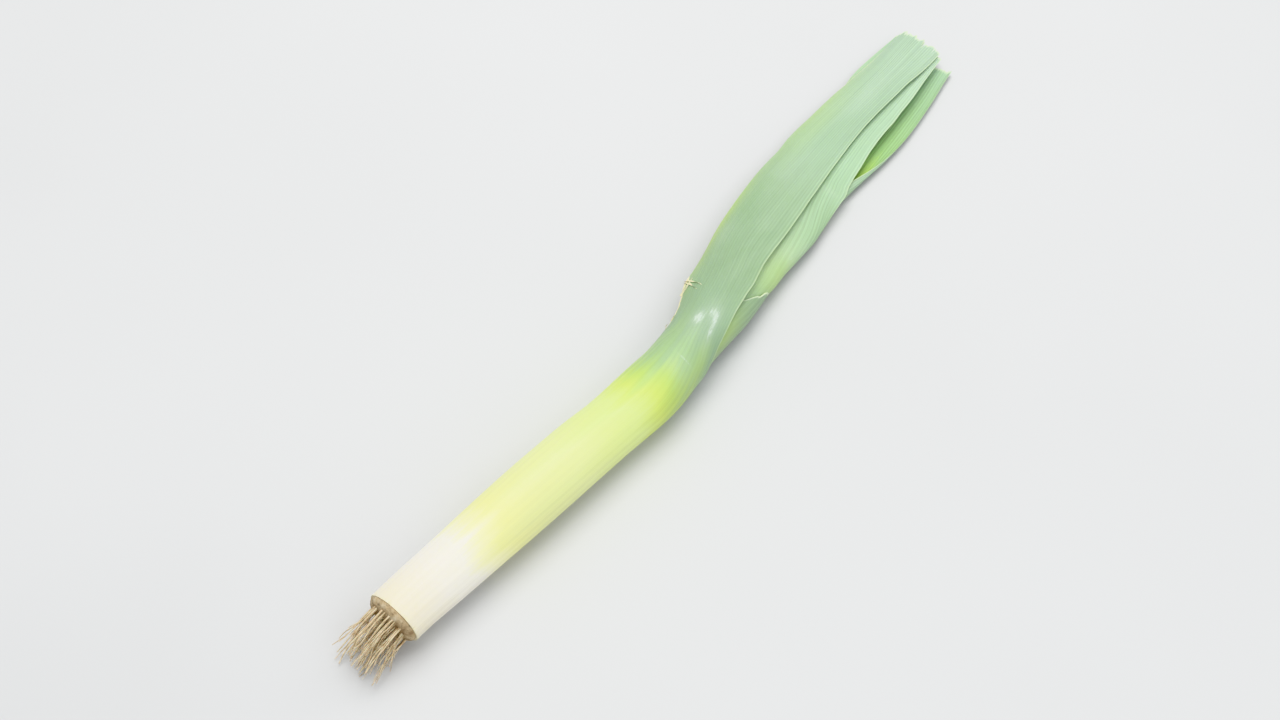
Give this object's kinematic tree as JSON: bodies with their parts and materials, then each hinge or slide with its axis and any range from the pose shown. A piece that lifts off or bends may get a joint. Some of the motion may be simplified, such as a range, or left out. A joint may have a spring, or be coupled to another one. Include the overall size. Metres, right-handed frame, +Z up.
{
  "type": "leek",
  "caption": "Whole leek lying on its side: pale shank of nested leaf sheaths, green blades trimmed at the top, root plate with a tuft of roots.",
  "frame": {"origin": "centre of the leek's footprint, on the surface it lies on", "axes": "+Y along the leek from the roots to the trimmed leaf tips, +Z up, +X to its right"},
  "size_m": [0.0786, 0.6442, 0.0387],
  "materials": {
    "outer_leaf": "waxy satin, blue-green blade fading to white at the root end",
    "inner_leaf": "waxy satin, fresh green fading to white at the root end",
    "heart_leaf": "moist satin, yellow-green",
    "root_plate": "matt, fibrous",
    "root": "matt, dry"
  },
  "bodies": {
    "root": {"root_plate": "root_plate", "root_01": "root", "root_02": "root", "root_03": "root", "root_04": "root", "root_05": "root", "root_06": "root", "root_07": "root", "root_08": "root", "root_09": "root", "root_10": "root", "root_11": "root", "root_12": "root", "root_13": "root", "root_14": "root", "root_15": "root", "root_16": "root", "root_17": "root", "leaf_1_outer": "outer_leaf", "leaf_2_short": "outer_leaf", "leaf_3_right": "outer_leaf", "leaf_4_under": "outer_leaf", "leaf_5_left": "inner_leaf", "leaf_6_under": "inner_leaf", "leaf_7_inner": "inner_leaf", "heart_leaf": "heart_leaf"}
  },
  "joints": []
}
